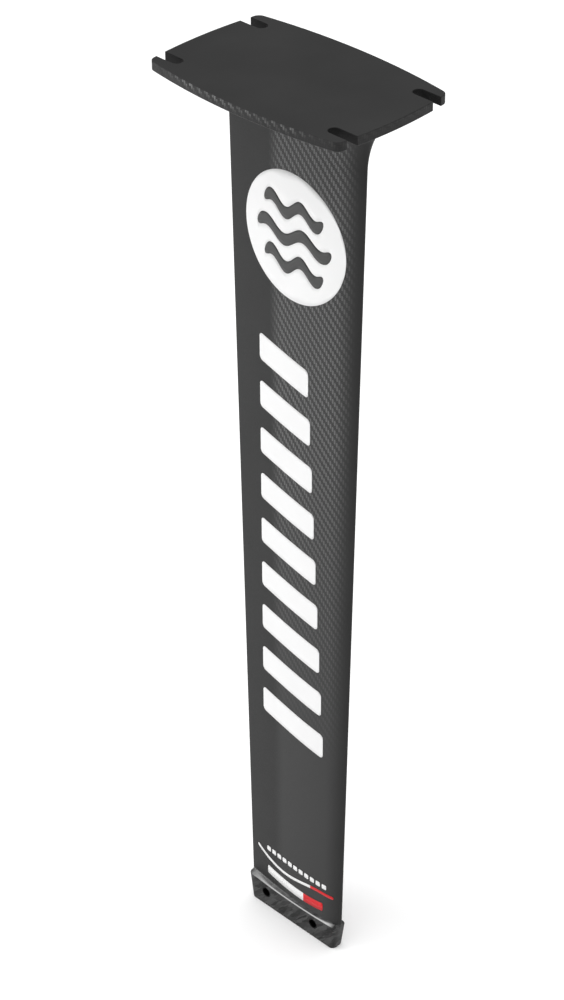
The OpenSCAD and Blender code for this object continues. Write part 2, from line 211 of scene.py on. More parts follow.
def linear(code):
    """An sRGB hex code as linear red, green, blue and alpha."""
    part = np.array([int(code[i:i + 2], 16) for i in (1, 3, 5)]) / 255
    light = np.where(part <= 0.04045, part / 12.92, ((part + 0.055) / 1.055) ** 2.4)
    return (*light, 1.0)


def add(tree, kind, feeds=None, **settings):
    """Adds a node, sets its properties, and feeds its sockets with values, other nodes or their outputs."""
    made = tree.nodes.new("ShaderNode" + kind)
    for name, value in settings.items():
        setattr(made, name, value)
    for socket, value in (feeds or {}).items():
        if isinstance(value, bpy.types.Node):
            value = next(out for out in value.outputs if out.enabled)
        if isinstance(value, bpy.types.NodeSocket):
            tree.links.new(value, made.inputs[socket])
        else:
            made.inputs[socket].default_value = value
    return made


def new_finish(name, **constants):
    """A new material: its constants go on the shader's own sockets, named with _ for a space."""
    made = bpy.data.materials.new(name)
    made.use_nodes = True
    shader = made.node_tree.nodes["Principled BSDF"]
    for socket, value in constants.items():
        shader.inputs[socket.replace("_", " ")].default_value = value
    return made, made.node_tree, shader


def twill(tree, round_way, down_way, width):
    """A 2x2 twill: each tow goes over two and under two, one step further along in the next row.
    Gives which tow lies on top, 1 or 0, and the cloth's height, a round ridge along that tow."""
    i = add(tree, "Math", {0: round_way, 1: width}, operation="DIVIDE")
    j = add(tree, "Math", {0: down_way, 1: width}, operation="DIVIDE")
    whole_i = add(tree, "Math", {0: i}, operation="FLOOR")
    whole_j = add(tree, "Math", {0: j}, operation="FLOOR")
    step = add(tree, "Math", {0: whole_i, 1: whole_j}, operation="ADD")
    turn = add(tree, "Math", {0: step, 1: 4.0}, operation="FLOORED_MODULO")
    over = add(tree, "Math", {0: turn, 1: 1.5}, operation="LESS_THAN")
    part_i = add(tree, "Math", {0: i, 1: 0.5}, operation="PINGPONG")
    part_j = add(tree, "Math", {0: j, 1: 0.5}, operation="PINGPONG")
    slope = add(tree, "Mix", {0: over, 2: part_j, 3: part_i})
    double = add(tree, "Math", {0: slope, 1: 2.0}, operation="MULTIPLY")
    ridge = add(tree, "Math", {0: double, 1: 0.5}, operation="POWER")
    return over, ridge


# Sanded epoxy laminate: a fine matt grain and no weave, because the board pad is glued or bolted to it.
sanded, tree, shader = new_finish("sanded epoxy laminate", Roughness=0.62, Specular_IOR_Level=0.12)
where = add(tree, "TexCoord").outputs["Object"]
grain = add(tree, "TexNoise", {"Vector": where, "Scale": 1 / (0.6 * MM), "Detail": 3.0})
cloud = add(tree, "TexNoise", {"Vector": where, "Scale": 1 / (70 * MM), "Detail": 2.0})
tone = add(tree, "Math", {0: grain, 1: 0.3, 2: cloud}, operation="MULTIPLY_ADD")
tint = add(tree, "ValToRGB", {0: tone})
tint.color_ramp.elements[0].position = 0.4
tint.color_ramp.elements[0].color = linear("#292929")
tint.color_ramp.elements[1].position = 0.95
tint.color_ramp.elements[1].color = linear("#303030")
tree.links.new(tint.outputs[0], shader.inputs["Base Color"])
bump = add(tree, "Bump", {"Strength": 0.25, "Distance": 0.05 * MM, "Height": grain})
tree.links.new(bump.outputs[0], shader.inputs["Normal"])

# Twill cloth under a thin satin resin, where it wraps the plate's edges. Pale dashes on its tows, mid-side
# and towards the top edge, are a painted highlight.
edge_twill, tree, shader = new_finish("twill carbon edge, satin resin", Specular_IOR_Level=0.12)
cloth = add(tree, "SeparateXYZ", {0: add(tree, "UVMap", uv_map="cloth")})
over, ridge = twill(tree, cloth.outputs[0], cloth.outputs[1], tow)
where = add(tree, "TexCoord").outputs["Object"]
flecks = add(tree, "TexNoise", {"Vector": where, "Scale": 1 / (7 * MM), "Detail": 2.0})
place_on = add(tree, "SeparateXYZ", {0: where})
off_middle = add(tree, "Math", {0: place_on.outputs[0]}, operation="ABSOLUTE")
along_side = add(tree, "MapRange", {0: off_middle, 1: 50 * MM, 2: 80 * MM, 3: 1.0, 4: 0.1})
upper = add(tree, "MapRange", {0: place_on.outputs[2], 1: -5.5 * MM, 2: -2 * MM, 3: 0.15, 4: 1.0})
# Painted highlight: the tows on top turn pale in patches, strongest mid-side and near the top edge.
painted_highlight_dashes = add(tree, "MapRange", {0: flecks, 1: 0.35, 2: 0.65, 3: 0.2, 4: 1.0})
painted_highlight_dashes = add(tree, "Math", {0: painted_highlight_dashes, 1: along_side}, operation="MULTIPLY")
painted_highlight_dashes = add(tree, "Math", {0: painted_highlight_dashes, 1: upper}, operation="MULTIPLY")
painted_highlight_tows = add(tree, "Math", {0: over, 1: painted_highlight_dashes}, operation="MULTIPLY")
tint = add(tree, "Mix", {0: painted_highlight_tows, 6: linear("#2d2d2d"), 7: linear("#777777")}, data_type="RGBA")
shade = add(tree, "Mix", {0: ridge, 6: linear("#252525"), 7: tint}, data_type="RGBA")
tree.links.new(shade.outputs[2], shader.inputs["Base Color"])
dull = add(tree, "MapRange", {0: flecks, 1: 0.3, 2: 0.7, 3: 0.38, 4: 0.52})
tree.links.new(dull.outputs[0], shader.inputs["Roughness"])
bump = add(tree, "Bump", {"Strength": 0.3, "Distance": 0.1 * MM, "Height": ridge})
tree.links.new(bump.outputs[0], shader.inputs["Normal"])

# Milled laminate, where the slots were cut: bare fibre ends, dark and dull, in layers 0.25 mm apart. Its
# colour is darkened further as painted shade inside the slots.
milled_and_painted_shade, tree, shader = new_finish("milled carbon laminate, painted shade", Roughness=0.7, Specular_IOR_Level=0.1)
layers = add(tree, "Mapping", {
    "Vector": add(tree, "TexCoord").outputs["Object"],
    "Scale": (1 / (2 * MM), 1 / (2 * MM), 1 / (0.25 * MM))})
fibre = add(tree, "TexNoise", {"Vector": layers, "Scale": 1.0, "Detail": 3.0})
tint = add(tree, "Mix", {0: fibre, 6: linear("#0c0c0c"), 7: linear("#272727")}, data_type="RGBA")
tree.links.new(tint.outputs[2], shader.inputs["Base Color"])
bump = add(tree, "Bump", {"Strength": 0.4, "Distance": 0.05 * MM, "Height": fibre})
tree.links.new(bump.outputs[0], shader.inputs["Normal"])


def finish_plate(piece, face_finish=None):
    """Gives the slots' walls the milled finish, darkened as painted shade, and the upward faces their own if
    given.
    """
    piece.data.materials.append(milled_and_painted_shade)
    count = len(piece.data.polygons)
    centre, normal = np.empty(3 * count), np.empty(3 * count)
    piece.data.polygons.foreach_get("center", centre)
    piece.data.polygons.foreach_get("normal", normal)
    x, y = np.abs(centre[0::3]), np.abs(centre[1::3])
    # The slot walls' darker colour is painted shade.
    slot_wall = (x > slot_x - 1.1 * slot_r) & (np.abs(y - slot_y) < 1.02 * slot_r)
    slot_wall &= np.abs(normal[2::3]) < 0.9
    which = np.where(slot_wall, 1, 0)
    if face_finish is not None:
        piece.data.materials.append(face_finish)
        which = np.where(normal[2::3] > 0.6, 2, which)
    piece.data.polygons.foreach_set("material_index", which.astype(np.int32))


skin_low, skin_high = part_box("plate_top_skin")
core_low, core_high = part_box("plate_core")
under_low, under_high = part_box("plate_bottom_skin")
outline = plate_outline(skin_high.x - skin_low.x, skin_high.y - skin_low.y)
bend = np.linspace(0, np.pi / 2, 6)
round_in = edge_round * (1 - np.sin(bend))
round_down = edge_round * (1 - np.cos(bend))

depths = np.append(round_down, skin_high.z - skin_low.z)
points, faces, uv = carry(outline, depths, np.append(round_in, 0), skin_high.z)
top_skin = make_piece(
    "plate_top_face", points, faces, edge_twill, ["plate_top_skin"], uv)
finish_plate(top_skin, sanded)

points, faces, uv = carry(outline, [0, core_high.z - core_low.z], [0, 0], core_high.z)
core = make_piece("plate_middle", points, faces, edge_twill, ["plate_core"], uv)
finish_plate(core)

thick = under_high.z - under_low.z
points, faces, uv = carry(
    outline, np.append(0, thick - round_down[::-1]), np.append(0, round_in[::-1]), under_high.z)
under = make_piece(
    "plate_under_face", points, faces, edge_twill, ["plate_bottom_skin"], uv)
finish_plate(under)


# ---- Mast skins and root flares ----
# Two half shells of twill carbon, moulded nose to tail in mirror-image tools and bonded along the nose
# and the tail. At the root each one is flared out under the plate with a moulded fillet.
skin_low, skin_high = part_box("starboard_skin")
foot_low, foot_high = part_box("foot_block")
root_z, tip_z = skin_high.z, skin_low.z
mast_len = root_z - tip_z
root_chord, root_thick = 150 * MM, 16 * MM
tip_chord, tip_thick = 112.5 * MM, 12 * MM
tail_r = 0.8 * MM
wall, nose_land, tail_land = 1.6 * MM, 4 * MM, 9 * MM
flare_h, flare_w = 46 * MM, 24 * MM


def foil_half(u, thick):
    """Half thickness of a symmetric foil at the fraction u of its chord, by the four-digit series."""
    return 5 * thick * (0.2969 * np.sqrt(u) - 0.126 * u - 0.3516 * u ** 2 + 0.2843 * u ** 3 - 0.1036 * u ** 4)


def side_line(chord, thick, r, steps=110):
    """One side of the section from nose to tail: foil stations closer together at both ends, then a
    quarter circle of radius r at the blunt tail. The foil is opened by u r so that it meets that circle,
    and starts 0.6 r thinner so that its full thickness stays."""
    u = (1 - np.cos(np.linspace(0, np.pi, steps))) / 2
    foil = np.stack([chord / 2 - u * (chord - r), foil_half(u, thick - 0.6 * r) + u * r], -1)
    a = np.linspace(0, np.pi / 2, 7)[1:]
    tail = np.stack([r - chord / 2 - r * np.sin(a), r * np.cos(a)], -1)
    return np.concatenate([foil, tail])


def section_scale(depth):
    """Chord and thickness at a depth below the root, as shares of those at the root: both fall evenly."""
    share = np.asarray(depth) / mast_len
    return 1 + (tip_chord / root_chord - 1) * share, 1 + (tip_thick / root_thick - 1) * share


def path_length(line):
    """Distance along a line from its first point to each point."""
    return np.concatenate([[0], np.cumsum(np.linalg.norm(np.diff(line, axis=0), axis=1))])


outer = side_line(root_chord, root_thick, tail_r)
inner = side_line(root_chord - nose_land - tail_land, root_thick - 2 * wall, tail_r / 2)
inner = inner + ((tail_land - nose_land) / 2, 0)
ring = np.concatenate([outer, inner[::-1]])
run = path_length(outer)
run = run[np.argmin(np.abs(outer[:, 0]))] - run
run = np.concatenate([run, inner[::-1, 0]])

# The cloth: two-two twill of 2.2 mm tows in clear epoxy, rubbed to satin. Down the middle of each side
# the colour is lighter and the pale tows and their relief show, fading out towards the foot: a painted sheen.
# Towards the tail and round the nose the colour is the darker plain resin; round the nose it is painted
# shade.
mast_twill, tree, shader = new_finish("twill carbon, satin epoxy", Specular_IOR_Level=0.1)
cloth = add(tree, "SeparateXYZ", {0: add(tree, "UVMap", uv_map="cloth")})
over, ridge = twill(tree, cloth.outputs[0], cloth.outputs[1], tow)
from_tail = add(tree, "MapRange", {0: cloth.outputs[0], 1: -26 * MM, 2: -10 * MM},
                interpolation_type="SMOOTHSTEP")
taper = add(tree, "MapRange", {0: cloth.outputs[1], 1: tip_z, 2: root_z, 3: tip_chord / root_chord, 4: 1.0})
ahead = add(tree, "Math", {0: cloth.outputs[0], 1: taper}, operation="DIVIDE")
to_nose = add(tree, "MapRange", {0: ahead, 1: 50 * MM, 2: 74 * MM, 3: 1.0, 4: 0.0},
              interpolation_type="SMOOTHSTEP")
down = add(tree, "MapRange", {0: cloth.outputs[1], 1: -640 * MM, 2: -300 * MM})
# Painted light: this band is painted lighter, and with down it marks where the painted sheen shows.
painted_light_band = add(tree, "Math", {0: from_tail, 1: to_nose}, operation="MULTIPLY")
painted_sheen_band = add(tree, "Math", {0: painted_light_band, 1: down}, operation="MULTIPLY")
object_place = add(tree, "TexCoord").outputs["Object"]
cloud = add(tree, "TexNoise", {"Vector": object_place, "Scale": 1 / (45 * MM), "Detail": 3.0})
dust = add(tree, "TexNoise", {"Vector": object_place, "Scale": 1 / (1.2 * MM), "Detail": 2.0})
weave = add(tree, "Mix", {0: over, 6: linear("#414141"), 7: linear("#696969")}, data_type="RGBA")
weave = add(tree, "Mix", {0: ridge, 6: linear("#272727"), 7: weave}, data_type="RGBA")
# Outside the band the colour drops to the resin tone; round the nose this darkening is painted shade.
resin = add(tree, "Mix", {0: cloud, 6: linear("#2b2b2b"), 7: linear("#313131")}, data_type="RGBA")
resin_with_painted_shade = add(tree, "Mix", {0: painted_light_band, 6: resin, 7: linear("#3b3b3b")}, data_type="RGBA")
tint = add(tree, "Mix", {0: painted_sheen_band, 6: resin_with_painted_shade, 7: weave}, data_type="RGBA")
tree.links.new(tint.outputs[2], shader.inputs["Base Color"])
dull = add(tree, "MapRange", {0: dust, 1: 0.3, 2: 0.7, 3: 0.40, 4: 0.52})
tree.links.new(dull.outputs[0], shader.inputs["Roughness"])
rise = add(tree, "Math", {0: ridge, 1: painted_sheen_band}, operation="MULTIPLY")
rise = add(tree, "Math", {0: dust, 1: 0.15, 2: rise}, operation="MULTIPLY_ADD")
bump = add(tree, "Bump", {"Strength": 0.35, "Distance": 0.1 * MM, "Height": rise})
tree.links.new(bump.outputs[0], shader.inputs["Normal"])

stations = np.linspace(0, mast_len, 60)
wide, deep = section_scale(stations)
flare_turn = np.linspace(0, np.pi / 2, 25)
spread = flare_w * (1 - np.sin(flare_turn))
drop = flare_h * (1 - np.cos(flare_turn))
fall = np.concatenate([path_length(np.stack([spread, drop], -1)), [0]])
tangent = np.gradient(outer, axis=0)
outward = np.stack([tangent[:, 1], -tangent[:, 0]], -1)
outward /= np.linalg.norm(outward, axis=1, keepdims=True)
outward[0] = (1, 0)
outward[-1] = (-1, 0)
spread, drop = np.append(spread, 0), np.append(drop, 0)

for side, sign in (("starboard", -1), ("port", 1)):
    x = wide[:, None] * ring[:, 0]
    y = sign * deep[:, None] * ring[:, 1]
    z = np.broadcast_to((root_z - stations)[:, None], x.shape)
    points = np.stack([x, y, z], -1)
    rows, columns = x.shape
    closed = np.concatenate([points, points[:, :1]], 1)
    uv = np.stack([wide[:, None] * np.append(run, run[0]), np.append(z, z[:, :1], 1)], -1)
    faces = grid_faces(rows, columns + 1)
    faces.append(list(range(columns)))
    faces.append([(rows - 1) * (columns + 1) + k for k in range(columns)])
    make_piece(side + "_shell", closed, faces, mast_twill, [side + "_skin"], uv)

    flare_wide, flare_deep = section_scale(drop)
    x = flare_wide[:, None] * outer[:, 0] + spread[:, None] * outward[:, 0]
    y = sign * (flare_deep[:, None] * outer[:, 1] + spread[:, None] * outward[:, 1])
    z = np.broadcast_to((root_z - drop)[:, None], x.shape)
    rows, columns = x.shape
    around = np.broadcast_to(run[:len(outer)], x.shape)
    down_cloth = np.broadcast_to((root_z - flare_h + fall[-2] - fall)[:, None], x.shape)
    uv = np.stack([around, down_cloth], -1)
    faces = grid_faces(rows, columns, close_rows=True)
    faces.append([k * columns for k in range(rows)])
    faces.append([k * columns + columns - 1 for k in range(rows)])
    make_piece(side + "_fillet", np.stack([x, y, z], -1), faces, mast_twill,
               [side + "_root_flare"], uv)


# ---- Inside the mast ----
# What the shells hold: a wound root block, two caps of straight carbon, two webs, carbon tow packed into
# the nose and the tail, and foam cores. They are bonded in before the shells are closed.
inside = {
    "wound glass and carbon root block": (["root_block"], "#5c4f3d", "#75664c", (1.5, 1.5, 9.0), 0.5),
    "unidirectional carbon cap": (
        ["starboard_spar_cap", "port_spar_cap"], "#181818", "#2d2d2d", (0.6, 0.6, 60.0), 0.38),
    "bias carbon web": (["front_shear_web", "rear_shear_web"], "#3d3d3d", "#585858", (2.2, 2.2, 2.2), 0.45),
    "packed carbon tow": (["nose_tow", "tail_tow"], "#1d1d1d", "#313131", (0.8, 0.8, 40.0), 0.4),
    "closed-cell structural foam": (
        ["nose_core", "centre_core", "tail_core"], "#cdbd92", "#e2d5b2", (0.9, 0.9, 0.9), 0.85),
}
for name, (nodes, dark, light, strand, gloss) in inside.items():
    made, tree, shader = new_finish(name, Roughness=gloss)
    turned = add(tree, "Mapping", {
        "Vector": add(tree, "TexCoord").outputs["Object"], "Scale": [1 / (k * MM) for k in strand]})
    fibre = add(tree, "TexNoise", {"Vector": turned, "Scale": 1.0, "Detail": 4.0})
    tint = add(tree, "Mix", {0: fibre, 6: linear(dark), 7: linear(light)}, data_type="RGBA")
    tree.links.new(tint.outputs[2], shader.inputs["Base Color"])
    bump = add(tree, "Bump", {"Strength": 0.4, "Distance": 0.1 * MM, "Height": fibre})
    tree.links.new(bump.outputs[0], shader.inputs["Normal"])
    for node in nodes:
        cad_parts[node].material_slots[0].material = made


# ---- Foot ----
# A compression-moulded block of chopped carbon, bonded into the mast by a neck. A rounded shoulder steps
# out from the mast to its flat sides, its ends lean in, and two bolts cross it through black sleeves.
shoulder_h = 3 * MM
lean = 4.25 * MM
foot_corner = 5 * MM
bottom_round = 0.8 * MM
foot_l, foot_t = foot_high.x - foot_low.x, foot_high.y - foot_low.y
shoulder_z = tip_z - shoulder_h


def half_way(line, steps):
    """Points spread along a line so that equal steps are equal shares of its length, closer at both ends."""
    s = path_length(line)
    share = (1 - np.cos(np.linspace(0, np.pi, steps))) / 2 * s[-1]
    return np.stack([np.interp(share, s, line[:, 0]), np.interp(share, s, line[:, 1])], -1)


def whole(half):
    """A half outline from nose to tail, joined to its mirror image in y into a closed outline."""
    return np.concatenate([half, half[-2:0:-1] * (1, -1)])


def foot_half(length):
    """Half of the foot's outline: half an end, a corner arc, a straight side, a corner arc, half an end."""
    x, y = length / 2 - foot_corner, foot_t / 2 - foot_corner
    return np.concatenate([
        [(length / 2, 0)], arc((x, y), foot_corner, 0, np.pi / 2, 17),
        arc((-x, y), foot_corner, np.pi / 2, np.pi, 17), [(-length / 2, 0)]])


# Chopped carbon: flat chips a few millimetres long lying at all angles, so that each one catches the light
# differently, pressed in a steel tool and rubbed to satin. The rear of the shoulder keeps the tool's
# polish. A pale line along the top of each flat side, lowest near the middle, is a painted highlight; it
# rises with the square of the distance from its low point.
chips, tree, shader = new_finish(
    "chopped carbon, pressed", Specular_IOR_Level=0.12, Coat_Roughness=0.16, Coat_IOR=1.8)
where = add(tree, "TexCoord").outputs["Object"]
warp = add(tree, "TexNoise", {"Vector": where, "Scale": 1 / (10 * MM), "Detail": 2.0})
bent = add(tree, "VectorMath", {0: warp.outputs["Color"], 1: (5 * MM,) * 3}, operation="MULTIPLY")
bent = add(tree, "VectorMath", {0: where, 1: bent}, operation="ADD")
slant = add(tree, "Mapping", {
    "Vector": bent, "Rotation": (0, np.radians(45), 0), "Scale": (2.4 * MM, 6 * MM, 14 * MM)},
    vector_type="TEXTURE")
chip = add(tree, "TexVoronoi", {"Vector": slant, "Scale": 1.0})
shade_of = add(tree, "SeparateColor", {0: chip.outputs["Color"]})
strands = add(tree, "Mapping", {
    "Vector": bent, "Rotation": (0, np.radians(45), 0), "Scale": (0.7 * MM, 2 * MM, 5 * MM)},
    vector_type="TEXTURE")
strand = add(tree, "TexNoise", {"Vector": strands, "Scale": 1.0, "Detail": 3.0})
mixed = add(tree, "Mix", {0: 0.45, 2: shade_of, 3: strand})
tint = add(tree, "ValToRGB", {0: mixed})
tint.color_ramp.elements[0].position = 0.22
tint.color_ramp.elements[0].color = linear("#161616")
tint.color_ramp.elements[1].position = 0.78
tint.color_ramp.elements[1].color = linear("#4a4a4a")
middle = tint.color_ramp.elements.new(0.42)
middle.color = linear("#323232")
# Painted highlight: #c0c0c0 is mixed into the chips' colour in a narrow band along the top of each side,
# faded out towards the rear and before the nose end.
highlight_low_x, highlight_z, highlight_bend = 1 * MM, shoulder_z - 1.3 * MM, 0.88
spot = add(tree, "SeparateXYZ", {0: where})
off = add(tree, "Math", {0: spot, 1: highlight_low_x}, operation="SUBTRACT")
off = add(tree, "Math", {0: off, 1: off}, operation="MULTIPLY")
level = add(tree, "Math", {0: off, 1: -highlight_bend, 2: spot.outputs[2]}, operation="MULTIPLY_ADD")
above = add(tree, "MapRange", {0: level, 1: highlight_z - 1.2 * MM, 2: highlight_z - 0.4 * MM})
below = add(tree, "MapRange", {0: level, 1: highlight_z + 0.4 * MM, 2: highlight_z + 1.2 * MM, 3: 1.0, 4: 0.0})
from_rear = add(tree, "MapRange", {0: spot, 1: -54 * MM, 2: -26 * MM})
to_front = add(tree, "MapRange", {0: spot, 1: 46 * MM, 2: 52 * MM, 3: 1.0, 4: 0.0})
painted_highlight_line = add(tree, "Math", {0: above, 1: below}, operation="MULTIPLY")
painted_highlight_line = add(tree, "Math", {0: painted_highlight_line, 1: from_rear}, operation="MULTIPLY")
painted_highlight_line = add(tree, "Math", {0: painted_highlight_line, 1: to_front}, operation="MULTIPLY")
tint = add(tree, "Mix", {0: painted_highlight_line, 6: tint.outputs[0], 7: linear("#c0c0c0")}, data_type="RGBA")
tree.links.new(tint.outputs[2], shader.inputs["Base Color"])
upper = add(tree, "MapRange", {
    0: spot.outputs[2], 1: shoulder_z - 0.4 * MM, 2: shoulder_z + 0.2 * MM})
rear = add(tree, "MapRange", {0: spot, 1: -40 * MM, 2: 0.0, 3: 0.8, 4: 0.1})
polish = add(tree, "Math", {0: upper, 1: rear}, operation="MULTIPLY")
tree.links.new(polish.outputs[0], shader.inputs["Coat Weight"])
dull = add(tree, "MapRange", {0: shade_of, 1: 0.0, 2: 1.0, 3: 0.36, 4: 0.52})
tree.links.new(dull.outputs[0], shader.inputs["Roughness"])
bump = add(tree, "Bump", {"Strength": 0.3, "Distance": 0.15 * MM, "Height": chip.outputs["Distance"]})
tree.links.new(bump.outputs[0], shader.inputs["Normal"])

steps = 90
tip_scale = section_scale(mast_len)
mast_ring = whole(half_way(outer * np.stack(tip_scale), steps))
wall_ring = whole(half_way(foot_half(foot_l), steps))
low_ring = wall_ring * (1 - 2 * lean / foot_l, 1)
out_share = np.array([0, 0.01, 0.03, 0.08, 0.2, 0.4, 0.6, 0.8, 0.92, 0.98, 1])[:, None, None]
down_share = np.array([0, 0.25, 0.36, 0.43, 0.5, 0.6, 0.7, 0.8, 0.87, 0.93, 1])
shoulder = mast_ring + (wall_ring - mast_ring) * out_share
shoulder_drop = tip_z - shoulder_h * down_share
fall_share = np.append(np.linspace(0, 1, 6)[1:-1], 1 - bottom_round / (shoulder_z - foot_low.z))
walls = wall_ring + (low_ring - wall_ring) * fall_share[:, None, None]
wall_drop = shoulder_z - (shoulder_z - foot_low.z) * fall_share
tuck = bottom_round * (1 - np.cos(bend[1:]))
edge = np.stack([shrink(low_ring, by) for by in tuck])
edge_drop = foot_low.z + bottom_round * (1 - np.sin(bend[1:]))
rings = np.concatenate([shoulder, walls, edge])
drops = np.concatenate([shoulder_drop, wall_drop, edge_drop])
rings = np.concatenate([rings, rings[:, :1]], 1)
z = np.broadcast_to(drops[:, None], rings.shape[:2])
rows, columns = z.shape
faces = grid_faces(rows, columns)
faces.append(list(range(columns - 1)))
faces.append([(rows - 1) * columns + k for k in range(columns - 1)])
foot = make_piece("foot", np.concatenate([rings, z[..., None]], -1), faces, chips,
                  ["foot_block"], sharp=40)

# The sleeves: turned aluminium tubes, hard-anodised black, pressed and glued into the cross holes. Their
# rims are rounded, and fine turning lines vary the anodising's roughness.
anodised, tree, shader = new_finish(
    "black anodised aluminium", Metallic=1.0, Specular_IOR_Level=0.5)
where = add(tree, "TexCoord").outputs["Object"]
turned = add(tree, "Mapping", {"Vector": where, "Scale": (1 / (4 * MM), 1 / (0.15 * MM), 1 / (4 * MM))})
lines = add(tree, "TexNoise", {"Vector": turned, "Scale": 1.0, "Detail": 2.0})
tint = add(tree, "Mix", {0: lines, 6: linear("#0f0f0f"), 7: linear("#1c1c1c")}, data_type="RGBA")
tree.links.new(tint.outputs[2], shader.inputs["Base Color"])
dull = add(tree, "MapRange", {0: lines, 1: 0.3, 2: 0.7, 3: 0.35, 4: 0.5})
tree.links.new(dull.outputs[0], shader.inputs["Roughness"])
bump = add(tree, "Bump", {"Strength": 0.2, "Distance": 0.02 * MM, "Height": lines})
tree.links.new(bump.outputs[0], shader.inputs["Normal"])
bore, seat, rim = 4.2 * MM, 5.25 * MM, 0.35 * MM


def turned_about_y(radius, along, centre_x, centre_z, steps=64):
    """Turns a closed profile about a line along y: x and z are the radius times cos a and sin a."""
    a = np.linspace(0, 2 * np.pi, steps)
    x = centre_x + radius[:, None] * np.cos(a)
    z = centre_z + radius[:, None] * np.sin(a)
    return np.stack([x, np.broadcast_to(along[:, None], x.shape), z], -1)


for name in ("front_sleeve", "rear_sleeve"):
    low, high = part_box(name)
    x, z = (low.x + high.x) / 2, (low.z + high.z) / 2
    half, outside = foot_t / 2, (high.x - low.x) / 2
    reach_y = np.array([-half - 2 * MM, -half - 2 * MM, half + 2 * MM, half + 2 * MM])
    rod = turned_about_y(np.array([0, seat, seat, 0]), reach_y, x, z)
    cut(foot, rod, grid_faces(4, 64))
    corner = np.linspace(0, np.pi / 2, 5)
    quarter = np.stack([rim * (1 - np.sin(corner)), rim * (1 - np.cos(corner))], -1)
    a, b = quarter[:, 0], quarter[:, 1]
    radius = np.concatenate([bore + b, outside - b[::-1], outside - b, bore + b[::-1]])
    along = np.concatenate([-half + a, -half + a[::-1], half - a, half - a[::-1]])
    rows = len(radius)
    make_piece(name + "_tube", turned_about_y(radius, along, x, z), grid_faces(rows, 64, close_rows=True),
               anodised, [name])
smooth(foot.data, 40)


# ---- Printed graphics ----
# Screen-printed vinyl film on both sides of the mast: a round badge with waves, slanted bars down the
# mast, a row of dashes and two stripes that turn from white to red. It is laid on after the satin coat.
film_t = 0.3 * MM
badge_x, badge_z, badge_r = 3 * MM, -134 * MM, 56 * MM
wave_pitch, wave_rise, wave_h = 24 * MM, 5 * MM, 11 * MM
wave_lengths = {-1: 67.2 * MM, 0: 84 * MM, 1: 67.2 * MM}


def skin_y(x, z):
    """How far the skin stands from the middle at a place on the mast's side: the foil's half thickness at
    the fraction u of the chord, grown or shrunk with the section at that depth."""
    wide, deep = section_scale(root_z - z)
    u = np.clip((root_chord / 2 - x / wide) / (root_chord - tail_r), 0, 1)
    return deep * (foil_half(u, root_thick - 0.6 * tail_r) + u * tail_r)


def band(x, low, high, steps):
    """Film between a lower and an upper line: z goes evenly from low to high at each x."""
    t = np.linspace(0, 1, steps)[:, None]
    z = low + (high - low) * t
    return np.broadcast_to(x, z.shape), z


def soften(x, start, stop, radius):
    """How far a line is pulled in near its ends to round them: radius - sqrt(radius^2 - distance^2)."""
    past = np.maximum(np.maximum(start + radius - x, x - stop + radius), 0)
    return radius - np.sqrt(np.maximum(radius ** 2 - past ** 2, 0))


def spread_out(start, stop, radius, steps):
    """Places from start to stop, even in the middle and closer together over a rounding at each end."""
    turn = radius * (1 - np.cos(np.linspace(0, np.pi / 2, 9)))
    middle = np.linspace(start + radius, stop - radius, steps)
    return np.unique(np.round(np.concatenate([start + turn, middle, stop - turn]), 7))


def wave_edges(k, x):
    """The lower and upper line of wave k: a sine of two periods, rounded to a point at both ends."""
    length = wave_lengths[k]
    part = np.clip((x - badge_x) / length, -0.5, 0.5)
    centre = badge_z + k * wave_pitch + wave_rise * np.sin(4 * np.pi * part)
    half = wave_h / 2 - soften(x, badge_x - length / 2, badge_x + length / 2, wave_h / 2)
    half = np.where(np.abs(x - badge_x) > length / 2, 0, half)
    return centre - half, centre + half


def badge_art():
    """A disc in four bands, with the waves left open between them."""
    ends = [spread_out(badge_x - l / 2, badge_x + l / 2, wave_h / 2, 60) for l in wave_lengths.values()]
    rim_x = badge_x + badge_r * np.sin(np.linspace(-np.pi / 2, np.pi / 2, 90))
    x = np.unique(np.round(np.concatenate([*ends, rim_x]), 7))
    arch = np.sqrt(np.maximum(badge_r ** 2 - (x - badge_x) ** 2, 0))
    edges = [badge_z - arch]
    for k in wave_lengths:
        edges += [np.clip(line, badge_z - arch, badge_z + arch) for line in wave_edges(k, x)]
    edges.append(badge_z + arch)
    return [band(x, edges[i], edges[i + 1], 5) for i in range(0, len(edges), 2)]


def waves_art():
    """Three waves, one above the other."""
    made = []
    for k, length in wave_lengths.items():
        x = spread_out(badge_x - length / 2, badge_x + length / 2, wave_h / 2, 60)
        made.append(band(x, *wave_edges(k, x), 4))
    return made


bars_z, bar_pitch, bar_fall, bar_h, bar_r = -236 * MM, 45 * MM, 12 * MM, 25 * MM, 3.5 * MM
bar_tail, bar_nose, bar_grow = -38 * MM, 20 * MM, 2.2 * MM


def bars_art():
    """Nine slanted bars with round corners, each a little longer than the one above. A bar's top edge falls
    evenly from tail to nose."""
    made = []
    for i in range(9):
        stop = bar_nose + bar_grow * i
        x = spread_out(bar_tail, stop, bar_r, 26)
        top = bars_z - bar_pitch * i - bar_fall * (x - bar_tail) / (stop - bar_tail)
        pull = soften(x, bar_tail, stop, bar_r)
        made.append(band(x, top - bar_h + pull, top - pull, 8))
    return made


trim_z, trim_h, trim_tail, trim_joint, trim_nose = -788 * MM, 3 * MM, -48 * MM, 23 * MM, 50 * MM
trim_low_x, trim_deep = -10 * MM, 7 * MM
low_z, low_h, low_tail, low_joint, low_nose = -802 * MM, 9 * MM, -34 * MM, 14 * MM, 38 * MM
low_low_x, low_deep = 3 * MM, 5.6 * MM


